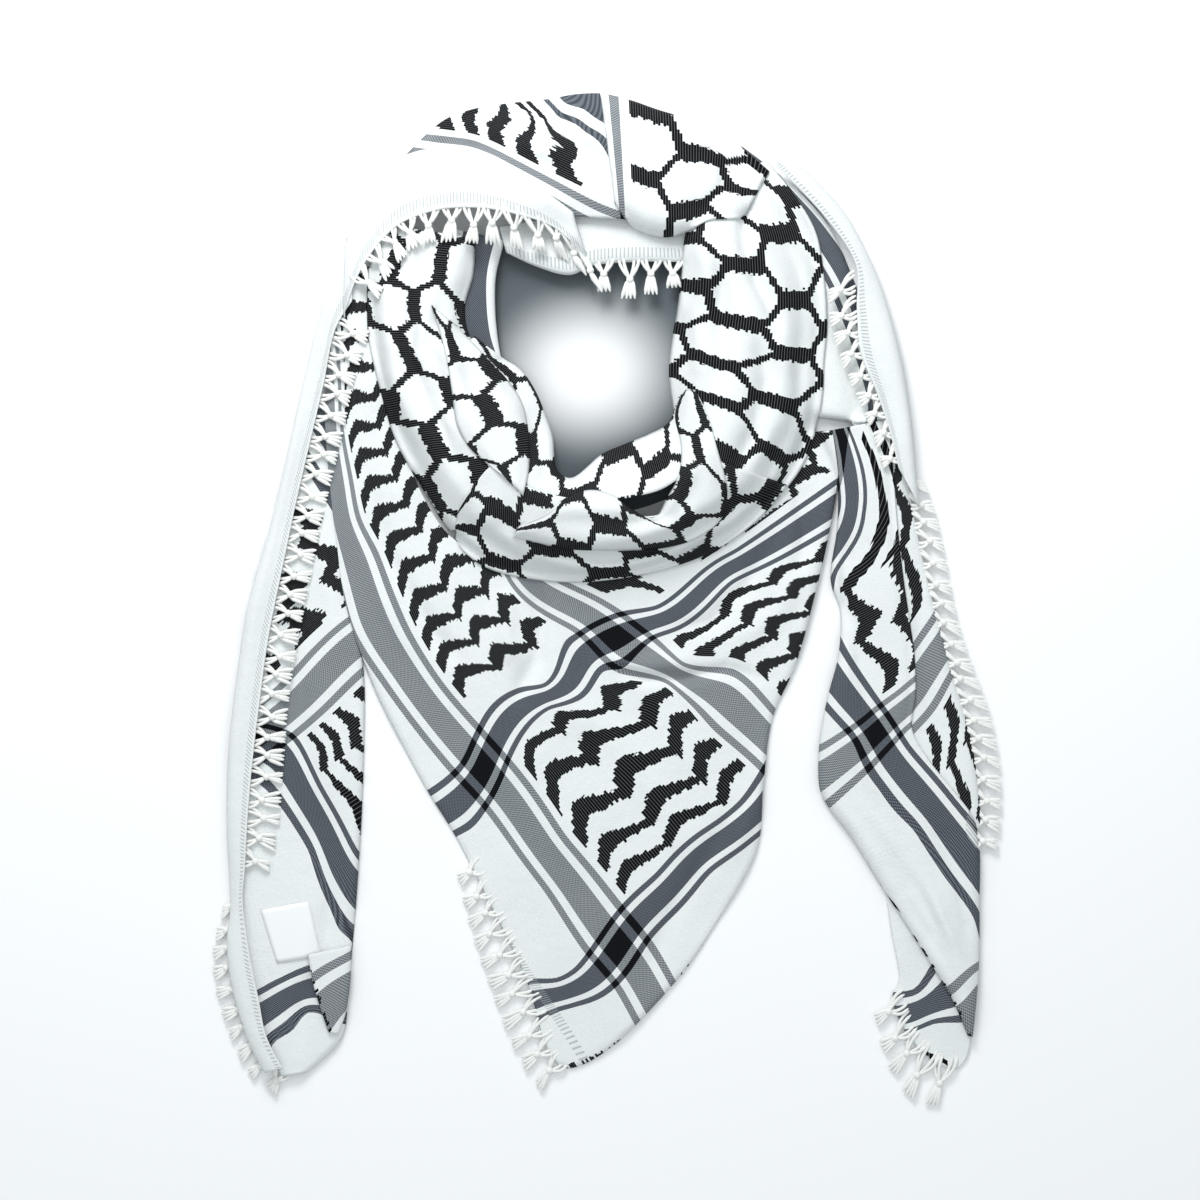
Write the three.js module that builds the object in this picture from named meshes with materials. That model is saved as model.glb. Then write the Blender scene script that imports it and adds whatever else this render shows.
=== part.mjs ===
// Keffiyeh headscarf, folded corner to corner, wound round a neck-sized ring and laid flat.
// Units are millimetres. +Z is up out of the surface it lies on, +Y runs from the front point
// of the scarf to the nape, +X is to the viewer's right.
import * as THREE from 'three';

// ---- driving sizes ----
const CLOTH = 2.0;          // wall of a cloth stretch
const GAP = 0.3;            // clearance between stretches that lie on each other
const FRINGE = 3.0;         // thickness of the solid that stands for a row of knotted tassels
const LABEL = 0.8;          // thickness of the woven label
const PITCH = 50;           // facet size on the flat lay
const NECK_PITCH = 30;      // facet size on the rolls around the neck
const EDGE_STEP = 27;       // facet size along an outline
const ROLL_IN = 10;         // row of facets just inside a folded edge
const PAD_DROP = 10;        // the neck padding stays this far under the crest of the rolls
const REACH = 470;          // half the field that the facets cover
const HOME = { x: 6.5, y: 0 };  // middle of the scarf's extent in the sections below, moved to x = y = 0

// ---- the ring that the neck rolls follow: angle, inner and outer radius, crest height ----
const NECK = { x: -12, y: 205 };
const RING = [
  { at: 0, inner: 77, outer: 212, crest: 44 }, { at: 30, inner: 84, outer: 232, crest: 40 },
  { at: 60, inner: 97, outer: 240, crest: 36 }, { at: 90, inner: 98, outer: 250, crest: 32 },
  { at: 120, inner: 98, outer: 246, crest: 32 }, { at: 150, inner: 95, outer: 226, crest: 36 },
  { at: 180, inner: 72, outer: 205, crest: 42 }, { at: 210, inner: 56, outer: 192, crest: 45 },
  { at: 240, inner: 64, outer: 196, crest: 46 }, { at: 270, inner: 80, outer: 188, crest: 46 },
  { at: 300, inner: 78, outer: 188, crest: 46 }, { at: 330, inner: 84, outer: 205, crest: 46 },
];
const RISE = [              // height across the ring, as a part of the crest
  { across: 0, part: 0.42 }, { across: 0.16, part: 0.74 }, { across: 0.42, part: 1 },
  { across: 0.68, part: 0.86 }, { across: 0.88, part: 0.5 }, { across: 1, part: 0.24 },
];

const lerp = (a, b, t) => a + (b - a) * t;
const ease = (t) => t * t * (3 - 2 * t);
const clamp = (v, lo, hi) => Math.min(hi, Math.max(lo, v));

function ringAt(x, y) {
  const dx = x - NECK.x, dy = y - NECK.y;
  const turn = ((Math.atan2(dy, dx) * 180 / Math.PI) + 360) % 360;
  const i = Math.floor(turn / 30), t = ease(turn / 30 - i);
  const a = RING[i % 12], b = RING[(i + 1) % 12];
  const inner = lerp(a.inner, b.inner, t), outer = lerp(a.outer, b.outer, t);
  return { across: (Math.hypot(dx, dy) - inner) / (outer - inner), crest: lerp(a.crest, b.crest, t) };
}

function heap(x, y) {
  const { across, crest } = ringAt(x, y);
  const q = clamp(across, 0, 1);
  const i = Math.max(0, RISE.findIndex((r) => r.across >= q) - 1);
  const a = RISE[i], b = RISE[i + 1];
  return crest * lerp(a.part, b.part, ease((q - a.across) / (b.across - a.across)));
}

// ---- outlines: a stretch is a row of sections, each from its first edge to its second ----
function spline(points, step) {
  const out = [];
  for (let i = 0; i + 1 < points.length; i++) {
    const p0 = points[Math.max(0, i - 1)], p1 = points[i];
    const p2 = points[i + 1], p3 = points[Math.min(points.length - 1, i + 2)];
    const n = Math.max(1, Math.round(Math.hypot(p2[0] - p1[0], p2[1] - p1[1]) / step));
    for (let k = 0; k < n; k++) {
      const t = k / n, t2 = t * t, t3 = t2 * t;
      out.push([0, 1].map((c) => 0.5 * (2 * p1[c] + (p2[c] - p0[c]) * t
        + (2 * p0[c] - 5 * p1[c] + 4 * p2[c] - p3[c]) * t2 + (3 * p1[c] - p0[c] - 3 * p2[c] + p3[c]) * t3)));
    }
  }
  out.push(points[points.length - 1].slice());
  return out;
}

// sides are first, end, second, start; those named in folds are rounded down
function strip(sections, folds = []) {
  const first = spline(sections.map((s) => [s[0], s[1]]), EDGE_STEP);
  const second = spline(sections.map((s) => [s[2], s[3]]), EDGE_STEP).reverse();
  const end = spline([first[first.length - 1], second[0]], EDGE_STEP);
  const start = spline([second[second.length - 1], first[0]], EDGE_STEP);
  const sides = { first, end, second, start };
  const outline = [];
  for (const side of ['first', 'end', 'second', 'start']) outline.push(...sides[side].slice(0, -1));
  return { outline, folded: folds.map((f) => sides[f]) };
}

function inside(outline, x, y) {
  let odd = false;
  for (let i = 0, j = outline.length - 1; i < outline.length; j = i++) {
    const [xi, yi] = outline[i], [xj, yj] = outline[j];
    if ((yi > y) !== (yj > y) && x < (xj - xi) * (y - yi) / (yj - yi) + xi) odd = !odd;
  }
  return odd;
}

function gapTo(line, x, y) {
  let best = Infinity;
  for (let i = 0; i + 1 < line.length; i++) {
    const [ax, ay] = line[i], [bx, by] = line[i + 1];
    const ux = bx - ax, uy = by - ay, len = ux * ux + uy * uy || 1;
    const t = clamp(((x - ax) * ux + (y - ay) * uy) / len, 0, 1);
    best = Math.min(best, Math.hypot(x - ax - ux * t, y - ay - uy * t));
  }
  return best;
}

// ---- the stretches, from the surface up ----
// rise: height of the face above the surface; radius and drop: how a folded edge rounds down
const flat = (height) => () => height;
const onRing = (extra) => (x, y) => heap(x, y) + extra;
const ring = (inner, outer) => {
  const sweep = (radius) => RING.map(({ at }) => [
    NECK.x + Math.cos(at * Math.PI / 180) * radius(at), NECK.y + Math.sin(at * Math.PI / 180) * radius(at)]);
  const close = (points) => spline([...points, points[0]], EDGE_STEP).slice(0, -1);
  const row = (at) => RING[at / 30];
  return { outline: close(sweep((at) => row(at).outer - outer)), hole: close(sweep((at) => row(at).inner + inner)),
    folded: [] };
};

const STRETCHES = [
  { name: 'neck_padding', colour: 0xb9bdbf, solid: true, rise: onRing(-PAD_DROP), ...ring(9, 30) },
  { name: 'left_tail_padding', colour: 0xb9bdbf, solid: true, rise: flat(5), radius: 10, drop: 3,
    ...strip([[-296, 60, -250, 66], [-316, 0, -236, 0], [-322, -75, -221, -75], [-323, -150, -221, -150],
      [-318, -225, -225, -225], [-309, -290, -231, -290], [-300, -345, -236, -340], [-288, -385, -246, -380]],
    ['first', 'second', 'end']) },
  { name: 'right_tail_padding', colour: 0xb9bdbf, solid: true, rise: flat(6), radius: 12, drop: 4,
    ...strip([[226, 70, 258, 74], [222, 0, 268, 0], [222, -60, 290, -60], [210, -120, 316, -120],
      [212, -170, 328, -165], [240, -222, 332, -215], [264, -262, 332, -262], [290, -305, 330, -305],
      [308, -338, 328, -340]], ['first', 'second', 'end']) },
  { name: 'left_tip_tassels', colour: 0xf2efe8, wall: FRINGE, rise: flat(FRINGE),
    ...strip([[-322, -262, -338, -276], [-325, -300, -347, -312], [-318, -340, -345, -350],
      [-308, -375, -332, -392], [-297, -405, -315, -426], [-282, -424, -290, -446]]) },
  { name: 'bib_tassels', colour: 0xf2efe8, wall: FRINGE, rise: flat(FRINGE),
    ...strip([[-110, -230, -128, -246], [-96, -262, -120, -280], [-80, -298, -109, -318],
      [-62, -338, -96, -355], [-50, -370, -83, -391], [-41, -400, -67, -421], [-33, -417, -50, -445]]) },
  { name: 'right_tip_tassels', colour: 0xf2efe8, wall: FRINGE, rise: flat(FRINGE),
    ...strip([[270, -354, 246, -370], [279, -381, 254, -404], [291, -398, 266, -430], [304, -411, 286, -455],
      [318, -414, 309, -450]]) },
  { name: 'right_tail_tassels', colour: 0xf2efe8, wall: FRINGE, rise: flat(6),
    ...strip([[262, 118, 292, 106], [276, 84, 302, 76], [284, 48, 310, 40], [292, 0, 320, -12],
      [300, -35, 330, -46], [308, -68, 342, -78], [318, -98, 352, -108], [328, -140, 359, -150],
      [332, -180, 360, -190], [332, -222, 356, -226]]) },
  { name: 'right_tail_tip', colour: 0x8d9196, rise: flat(3.2), radius: 8, drop: 1,
    ...strip([[257, -266, 300, -270], [262, -300, 325, -305], [269, -340, 331, -340], [263, -357, 333, -365],
      [272, -384, 334, -390], [287, -403, 330, -411], [303, -418, 321, -422]], ['first']) },
  { name: 'right_tail_side', colour: 0xc9cccd, rise: flat(10), radius: 10, drop: 4,
    ...strip([[226, 160, 266, 176], [242, 128, 272, 134], [250, 90, 279, 92], [258, 40, 290, 38], [262, 0, 299, 0],
      [266, -30, 307, -30], [266, -65, 317, -68], [262, -100, 327, -98], [266, -132, 336, -140],
      [290, -168, 341, -178], [318, -196, 342, -206]], ['second']) },
  { name: 'right_tail_front', colour: 0xdadcdd, rise: flat(14), radius: 14, drop: 7,
    ...strip([[196, 150, 258, 162], [212, 110, 263, 116], [213, 66, 267, 66], [207, 20, 272, 20], [216, -12, 278, -20],
      [214, -50, 282, -50], [205, -85, 283, -85], [198, -120, 280, -116], [196, -150, 297, -146],
      [198, -172, 318, -172], [208, -190, 335, -196], [226, -213, 341, -224], [256, -262, 341, -270],
      [279, -298, 341, -308], [297, -327, 340, -335], [316, -358, 338, -362], [330, -391, 335, -392]],
    ['first', 'second']) },
  { name: 'left_tail_panel', colour: 0xc9cccd, rise: flat(8), radius: 10, drop: 4,
    ...strip([[-262, 170, -232, 176], [-280, 110, -232, 112], [-300, 50, -226, 50], [-315, 0, -220, 0],
      [-323, -70, -212, -70], [-327, -130, -212, -130], [-329, -180, -214, -190], [-329, -230, -217, -240],
      [-326, -270, -219, -270], [-324, -310, -222, -305], [-316, -350, -226, -350], [-305, -393, -232, -393],
      [-286, -428, -262, -424]], ['first', 'second']) },
  { name: 'left_tail_tip', colour: 0xdadcdd, rise: flat(11), radius: 8, drop: 2.5,
    ...strip([[-262, -318, -223, -310], [-257, -345, -224, -340], [-250, -368, -228, -370],
      [-243, -388, -235, -390]], ['second']) },
  { name: 'woven_label', colour: 0xffffff, wall: LABEL, rise: flat(10),
    ...strip([[-305, -278, -261, -270], [-298, -301, -256, -293], [-290, -326, -250, -319]]) },
  { name: 'front_bib', colour: 0xe6e7e6, radius: 9, drop: 4,
    rise: (x, y) => 5.5 + 3 * clamp((y + 190) / 200, 0, 1) + 1.2 * Math.sin(x / 24 + y / 60),
    ...strip([[-192, 296, -232, 304], [-196, 250, -243, 252], [-190, 175, -247, 175], [-170, 118, -243, 108], [-148, 74, -236, 50],
      [-128, 52, -229, 0], [-112, 44, -208, -67], [-94, 40, -187, -112], [-78, 37, -156, -170],
      [-62, 36, -129, -214], [-50, 35, -98, -275], [-38, 35, -66, -342], [-27, 35, -49, -400],
      [-14, 35, -28, -421], [-2, 36, 14, -399], [10, 37, 68, -343], [24, 39, 100, -298], [42, 43, 140, -228],
      [58, 47, 147, -165], [78, 54, 155, -107], [100, 64, 176, -58], [124, 79, 192, 0], [148, 100, 206, 60],
      [164, 122, 213, 107], [172, 150, 208, 152]], ['second']) },
  { name: 'right_back_panel', colour: 0xb4b8bb, rise: (x, y) => Math.max(11, heap(x, y) - 4), radius: 12, drop: 5,
    ...strip([[92, 396, 122, 412], [128, 366, 174, 372], [152, 330, 205, 338], [166, 290, 229, 285],
      [170, 240, 247, 235], [172, 190, 259, 190], [176, 140, 268, 145], [188, 104, 272, 104]], ['second']) },
  { name: 'right_hem_tassels', colour: 0xf2efe8, wall: FRINGE, rise: flat(16),
    ...strip([[206, 305, 190, 288], [218, 266, 200, 250], [233, 228, 214, 214], [247, 193, 230, 182],
      [259, 163, 243, 150], [269, 127, 254, 116]]) },
  { name: 'right_hem', colour: 0xf0f0ee, rise: flat(20), radius: 12, drop: 7,
    ...strip([[150, 384, 168, 398], [184, 338, 212, 350], [202, 300, 238, 305], [216, 260, 257, 264],
      [233, 222, 270, 215], [247, 187, 278, 165], [258, 155, 282, 122], [267, 118, 286, 84]], ['second']) },
  { name: 'inner_left_band', colour: 0x55585f, rise: flat(17), radius: 8, drop: 4,
    ...strip([[-130, 332, -84, 322], [-134, 296, -92, 292], [-132, 262, -93, 262], [-124, 238, -91, 236],
      [-106, 220, -88, 216]], ['second']) },
  { name: 'inner_hem_tassels', colour: 0xf2efe8, wall: FRINGE, rise: flat(14),
    ...strip([[-6, 309, -4, 281], [18, 309, 18, 270], [42, 309, 42, 273], [62, 309, 61, 277],
      [76, 310, 75, 286]]) },
  { name: 'inner_hem', colour: 0xd5d8d6, rise: flat(18), radius: 10, drop: 3,
    ...strip([[-90, 334, -84, 311], [-60, 340, -58, 299], [-30, 346, -28, 291], [-4, 350, -4, 300],
      [35, 350, 35, 303], [66, 345, 70, 303], [88, 338, 92, 308]]) },
  { name: 'back_of_neck', colour: 0xc4c7c9, rise: onRing(0), radius: 14, drop: 10,
    ...strip([[-174, 401, -166, 390], [-156, 419, -150, 372], [-136, 434, -126, 362], [-108, 443, -100, 356],
      [-80, 447, -74, 350], [-50, 450, -46, 345], [-20, 455, -18, 342], [6, 455, 14, 340], [30, 448, 46, 338]],
    ['first']) },
  { name: 'right_roll', colour: 0xeceded, rise: onRing(0), radius: 20, drop: 16,
    ...strip([[84, 352, 150, 396], [76, 326, 190, 338], [73, 298, 201, 292], [70, 266, 204, 250],
      [65, 236, 201, 212], [62, 208, 199, 178], [64, 182, 191, 143], [70, 150, 178, 114],
      [76, 122, 150, 80]], ['first', 'second']) },
  { name: 'left_roll', colour: 0xe2e4e4, rise: onRing(1), radius: 18, drop: 14,
    ...strip([[-196, 336, -112, 322], [-207, 300, -113, 292], [-209, 265, -121, 260], [-207, 230, -113, 230],
      [-196, 184, -80, 194], [-183, 142, -64, 157], [-163, 106, -62, 120], [-148, 80, -66, 92],
      [-136, 62, -78, 72]], ['first', 'second']) },
  { name: 'inner_lip', colour: 0xe6e7e6, rise: onRing(-2), radius: 12, drop: 9,
    ...strip([[-112, 236, -122, 226], [-90, 219, -106, 208], [-72, 208, -88, 190], [-58, 188, -76, 168],
      [-48, 164, -70, 146], [-42, 146, -68, 122], [-39, 118, -60, 92], [-24, 110, -30, 82],
      [0, 130, 4, 88], [22, 140, 30, 92], [44, 149, 58, 100], [62, 160, 82, 122], [70, 182, 92, 158]],
    ['first']) },
  { name: 'front_roll', colour: 0xeceded, rise: onRing(2), radius: 20, drop: 20,
    ...strip([[88, 128, 168, 103], [84, 106, 150, 80], [74, 88, 130, 62], [56, 76, 106, 46], [30, 74, 76, 33],
      [2, 82, 40, 23], [-26, 90, 0, 17], [-52, 96, -36, 16], [-74, 106, -70, 20], [-93, 120, -100, 28],
      [-111, 103, -121, 42], [-127, 79, -131, 57]], ['second', 'end']) },
  { name: 'cowl_fold', colour: 0xf4f4f3, rise: onRing(6), radius: 16, drop: 10,
    ...strip([[74, 188, 85, 187], [67, 165, 95, 166], [72, 137, 103, 138], [70, 112, 113, 98],
      [60, 92, 108, 72], [48, 73, 84, 54], [30, 80, 54, 46], [12, 93, 24, 44], [-8, 98, -8, 44],
      [-28, 92, -36, 46], [-50, 76, -60, 52], [-72, 66, -78, 56]], ['first', 'second', 'start', 'end']) },
  { name: 'left_fold', colour: 0xf4f4f3, rise: onRing(6), radius: 14, drop: 8,
    ...strip([[-150, 262, -127, 244], [-138, 222, -112, 228], [-132, 188, -87, 202], [-128, 158, -70, 178],
      [-118, 138, -64, 152], [-104, 124, -63, 118], [-88, 112, -68, 92]], ['first', 'second', 'start', 'end']) },
  { name: 'left_tassels', colour: 0xf2efe8, wall: FRINGE, rise: flat(10),
    ...strip([[-234, 250, -206, 240], [-247, 205, -220, 196], [-260, 150, -232, 142], [-275, 90, -246, 84],
      [-288, 30, -258, 26], [-301, -30, -270, -34], [-310, -90, -279, -92], [-316, -150, -284, -152],
      [-320, -200, -288, -204], [-322, -234, -298, -246]]) },
  { name: 'left_hem', colour: 0xf0f0ee, rise: flat(15), radius: 12, drop: 6,
    ...strip([[-222, 332, -222, 268], [-240, 292, -238, 240], [-255, 243, -248, 192], [-270, 180, -260, 140], [-285, 112, -273, 84],
      [-300, 52, -285, 26], [-315, 0, -297, -34], [-325, -60, -305, -92], [-333, -130, -312, -152],
      [-335, -190, -316, -202], [-333, -240, -318, -240], [-332, -275, -320, -272], [-335, -310, -313, -322],
      [-330, -350, -306, -356], [-318, -390, -299, -390], [-302, -424, -284, -420]], ['first']) },
  { name: 'nape_tassels', colour: 0xf2efe8, wall: FRINGE, rise: onRing(4),
    ...strip([[-12, 306, 3, 275], [-40, 336, -28, 303], [-75, 349, -71, 313], [-110, 355, -112, 317],
      [-146, 353, -148, 318], [-180, 342, -167, 311], [-205, 320, -185, 292], [-222, 290, -198, 267]]) },
  { name: 'nape_hem', colour: 0xf0f0ee, rise: onRing(7), radius: 12, drop: 7,
    ...strip([[-24, 346, -9, 300], [-46, 362, -38, 330], [-76, 384, -75, 343], [-110, 401, -110, 349],
      [-150, 405, -145, 347], [-181, 397, -177, 337], [-198, 379, -201, 316], [-212, 356, -218, 288],
      [-228, 324, -230, 252]], ['first', 'start', 'end']) },
  { name: 'right_shoulder', colour: 0xf4f4f3, rise: onRing(6), radius: 18, drop: 12,
    ...strip([[0, 456, 13, 353], [26, 450, 29, 333], [52, 441, 55, 324], [78, 433, 78, 328],
      [104, 422, 98, 338], [130, 404, 124, 340], [152, 384, 134, 352]], ['start', 'second', 'end', 'first']) },
];

// ---- one net of facets under every stretch, so that stretches share edges and never cross ----
function delaunay(points) {
  const far = 4 * REACH, p = [...points, [-far, -far], [far, -far], [0, far * 1.5]], n = points.length;
  const circle = (a, b, c) => {
    const [ax, ay] = p[a], [bx, by] = p[b], [cx, cy] = p[c];
    const d = 2 * (ax * (by - cy) + bx * (cy - ay) + cx * (ay - by));
    const a2 = ax * ax + ay * ay, b2 = bx * bx + by * by, c2 = cx * cx + cy * cy;
    const x = (a2 * (by - cy) + b2 * (cy - ay) + c2 * (ay - by)) / d;
    const y = (a2 * (cx - bx) + b2 * (ax - cx) + c2 * (bx - ax)) / d;
    return { v: [a, b, c], x, y, r: Math.hypot(ax - x, ay - y) };
  };
  const order = [...points.keys()].sort((i, j) => p[i][0] - p[j][0]);
  let open = [circle(n, n + 1, n + 2)];
  const done = [];
  for (const i of order) {
    const [x, y] = p[i], edges = new Map(), keep = [];
    for (const t of open) {
      if (x - t.x > t.r) { done.push(t); continue; }
      if (Math.hypot(x - t.x, y - t.y) >= t.r - 1e-9) { keep.push(t); continue; }
      for (let k = 0; k < 3; k++) {
        const a = t.v[k], b = t.v[(k + 1) % 3], back = `${b},${a}`;
        if (edges.has(back)) edges.delete(back); else edges.set(`${a},${b}`, [a, b]);
      }
    }
    open = keep;
    for (const [a, b] of edges.values()) open.push(circle(a, b, i));
  }
  return [...done, ...open].map((t) => t.v).filter((v) => v.every((k) => k < n));
}

const crossing = ([ax, ay], [bx, by], [cx, cy], [dx, dy]) => {
  const rx = bx - ax, ry = by - ay, sx = dx - cx, sy = dy - cy, k = rx * sy - ry * sx;
  if (Math.abs(k) < 1e-9) return null;
  const t = ((cx - ax) * sy - (cy - ay) * sx) / k, u = ((cx - ax) * ry - (cy - ay) * rx) / k;
  return t > 0 && t < 1 && u > 0 && u < 1 ? [ax + rx * t, ay + ry * t] : null;
};

function net() {
  const points = [], rims = [];
  const near = (x, y, r) => points.find((q) => Math.abs(q[0] - x) < r && Math.hypot(q[0] - x, q[1] - y) < r);
  const add = (x, y, r) => near(x, y, r) ?? (points.push([x, y]), points[points.length - 1]);
  for (const s of STRETCHES) {
    for (const rim of [s.outline, s.hole].filter(Boolean)) {
      rims.push(rim.map(([x, y]) => add(x, y, 9)).filter((q, i, all) => q !== all[(i + 1) % all.length]));
    }
  }
  for (let i = 0; i < rims.length; i++) {
    for (let j = i + 1; j < rims.length; j++) {
      for (let a = 0; a < rims[i].length; a++) {
        for (let b = 0; b < rims[j].length; b++) {
          const A = rims[i], B = rims[j];
          const hit = crossing(A[a], A[(a + 1) % A.length], B[b], B[(b + 1) % B.length]);
          if (!hit) continue;
          const q = add(hit[0], hit[1], 6);
          if (!A.includes(q)) A.splice(a + 1, 0, q);
          if (!B.includes(q)) B.splice(b + 1, 0, q);
        }
      }
    }
  }
  // a corner of the net inside a rim piece's circle would cut across that rim
  const clear = (x, y) => rims.every((r) => r.every(([ax, ay], i) => {
    const [bx, by] = r[(i + 1) % r.length];
    return (x - ax) * (x - bx) + (y - ay) * (y - by) > 0;
  }));
  for (const s of STRETCHES) {
    for (const line of s.folded) {
      for (let i = 1; i + 1 < line.length; i++) {
        const [ux, uy] = [line[i + 1][0] - line[i - 1][0], line[i + 1][1] - line[i - 1][1]];
        const len = Math.hypot(ux, uy) || 1;
        for (const way of [1, -1]) {
          const x = line[i][0] - way * uy / len * ROLL_IN, y = line[i][1] + way * ux / len * ROLL_IN;
          if (inside(s.outline, x, y) && clear(x, y) && !near(x, y, ROLL_IN)) points.push([x, y]);
        }
      }
    }
  }
  for (let row = -REACH; row <= REACH; row += NECK_PITCH * 0.87) {
    for (let col = -REACH; col <= REACH; col += NECK_PITCH) {
      const k = Math.round(row / (NECK_PITCH * 0.87));
      const x = col + (k % 2 ? NECK_PITCH / 2 : 0) + 0.7 * Math.sin(col * 1.3 + row), y = row + 0.7 * Math.cos(col);
      const { across } = ringAt(x, y);
      if (across > 0 && across < 1 && !near(x, y, NECK_PITCH * 0.62) && clear(x, y)) points.push([x, y]);
    }
  }
  for (let row = -REACH; row <= REACH; row += PITCH * 0.87) {
    for (let col = -REACH; col <= REACH; col += PITCH) {
      const k = Math.round(row / (PITCH * 0.87));
      const x = col + (k % 2 ? PITCH / 2 : 0) + 0.7 * Math.sin(col * 1.3 + row), y = row + 0.7 * Math.cos(col);
      const { across } = ringAt(x, y);
      if ((across <= 0 || across >= 1) && STRETCHES.some((s) => inside(s.outline, x, y))
        && !near(x, y, PITCH * 0.62) && clear(x, y)) points.push([x, y]);
    }
  }
  for (let round = 0; ; round++) {
    const facets = delaunay(points), sides = new Set();
    const key = (a, b) => (a < b ? `${a},${b}` : `${b},${a}`);
    for (const [a, b, c] of facets) sides.add(key(a, b)).add(key(b, c)).add(key(c, a));
    const index = new Map(points.map((q, i) => [q, i]));
    let split = 0;
    for (const r of rims) {
      for (let i = r.length - 1; i >= 0; i--) {
        const a = r[i], b = r[(i + 1) % r.length];
        if (sides.has(key(index.get(a), index.get(b)))) continue;
        const q = add((a[0] + b[0]) / 2, (a[1] + b[1]) / 2, 1.5);
        if (r.includes(q)) continue;
        r.splice(i + 1, 0, q);
        split++;
      }
    }
    if (!split || round === 5) return { points, rims, facets };
  }
}

// facets of one stretch: those inside its rims, joined edge to edge, with one fan at each corner
function facetsOf(stretch, { points, rims, facets }, rim, hole) {
  let kept = facets.filter((v) => {
    const x = (points[v[0]][0] + points[v[1]][0] + points[v[2]][0]) / 3;
    const y = (points[v[0]][1] + points[v[1]][1] + points[v[2]][1]) / 3;
    return inside(rim, x, y) && !(hole && inside(hole, x, y));
  });
  for (let again = true; again;) {
    again = false;
    const edges = new Map(), group = kept.map((_, i) => i);
    const root = (i) => { while (group[i] !== i) i = group[i]; return i; };
    kept.forEach((v, i) => {
      for (let k = 0; k < 3; k++) {
        const key = [v[k], v[(k + 1) % 3]].sort((a, b) => a - b).join();
        if (edges.has(key)) group[root(i)] = root(edges.get(key)); else edges.set(key, i);
      }
    });
    const size = new Map();
    kept.forEach((_, i) => size.set(root(i), (size.get(root(i)) ?? 0) + 1));
    const main = [...size.entries()].sort((a, b) => b[1] - a[1])[0][0];
    if (size.size > 1) { kept = kept.filter((_, i) => root(i) === main); again = true; continue; }
    const at = new Map();
    kept.forEach((v) => v.forEach((k) => at.set(k, [...(at.get(k) ?? []), v])));
    for (const [corner, fan] of at) {
      const left = new Set(fan), walk = [fan[0]];
      left.delete(fan[0]);
      while (walk.length) {
        const v = walk.pop();
        for (const w of [...left]) {
          if (w.filter((k) => v.includes(k)).length === 2) { left.delete(w); walk.push(w); }
        }
      }
      if (left.size) {
        const drop = left.size * 2 > fan.length ? fan.filter((v) => !left.has(v)) : [...left];
        kept = kept.filter((v) => !drop.includes(v));
        again = true;
        break;
      }
    }
  }
  return kept;
}

function body(stretch, cells, points, ground) {
  const wall = stretch.wall ?? CLOTH, used = new Map(), low = [], high = [];
  const face = (x, y) => {
    let z = stretch.rise(x, y);
    if (stretch.folded.length && stretch.radius) {
      const d = Math.min(...stretch.folded.map((line) => gapTo(line, x, y))) / stretch.radius;
      if (d < 1) z -= stretch.drop * (1 - Math.sqrt(1 - (1 - d) * (1 - d)));
    }
    return z;
  };
  for (const v of cells) {
    for (const k of v) {
      if (used.has(k)) continue;
      used.set(k, low.length);
      const [x, y] = points[k], h = 3;
      const slope = Math.hypot(face(x + h, y) - face(x - h, y), face(x, y + h) - face(x, y - h)) / (2 * h);
      const thick = wall * Math.min(1.8, Math.hypot(1, slope));
      const rest = ground[k] ? ground[k] + GAP : 0;
      const bottom = stretch.solid ? rest : Math.max(rest, face(x, y) - thick);
      low.push([x, y, bottom]);
      high.push([x, y, stretch.solid ? Math.max(bottom + 1.5, face(x, y)) : bottom + thick]);
    }
  }
  for (const [k, i] of used) ground[k] = high[i][2];
  const corners = [...low, ...high], n = low.length, faces = [], open = new Map();
  for (const v of cells) {
    const [a, b, c] = v.map((k) => used.get(k));
    const turn = (low[b][0] - low[a][0]) * (low[c][1] - low[a][1]) - (low[c][0] - low[a][0]) * (low[b][1] - low[a][1]);
    const t = turn > 0 ? [a, b, c] : [a, c, b];
    faces.push([t[0] + n, t[1] + n, t[2] + n], [t[0], t[2], t[1]]);
    for (let k = 0; k < 3; k++) {
      const p = t[k], q = t[(k + 1) % 3];
      if (open.has(`${q},${p}`)) open.delete(`${q},${p}`); else open.set(`${p},${q}`, [p, q]);
    }
  }
  for (const [p, q] of open.values()) faces.push([p, q, q + n], [p, q + n, p + n]);
  const geometry = new THREE.BufferGeometry();
  geometry.setAttribute('position', new THREE.Float32BufferAttribute(corners.flat(), 3));
  geometry.setIndex(faces.flat());
  geometry.translate(-HOME.x, -HOME.y, 0);
  geometry.computeVertexNormals();
  const mesh = new THREE.Mesh(geometry, new THREE.MeshStandardMaterial({ color: stretch.colour, roughness: 0.95 }));
  mesh.name = stretch.name;
  return mesh;
}

const group = new THREE.Group();
group.name = 'keffiyeh';
const woven = net();
const ground = new Float64Array(woven.points.length);
let rim = 0;
for (const stretch of STRETCHES) {
  const outline = woven.rims[rim++], hole = stretch.hole ? woven.rims[rim++] : null;
  group.add(body(stretch, facetsOf(stretch, woven, outline, hole), woven.points, ground));
}

export default group;
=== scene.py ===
"""Keffiyeh headscarf wound round a neck-sized ring and laid flat. Tables are in millimetres."""
import bpy, bmesh, math
import numpy as np
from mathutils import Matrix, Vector
from mathutils.bvhtree import BVHTree


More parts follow.
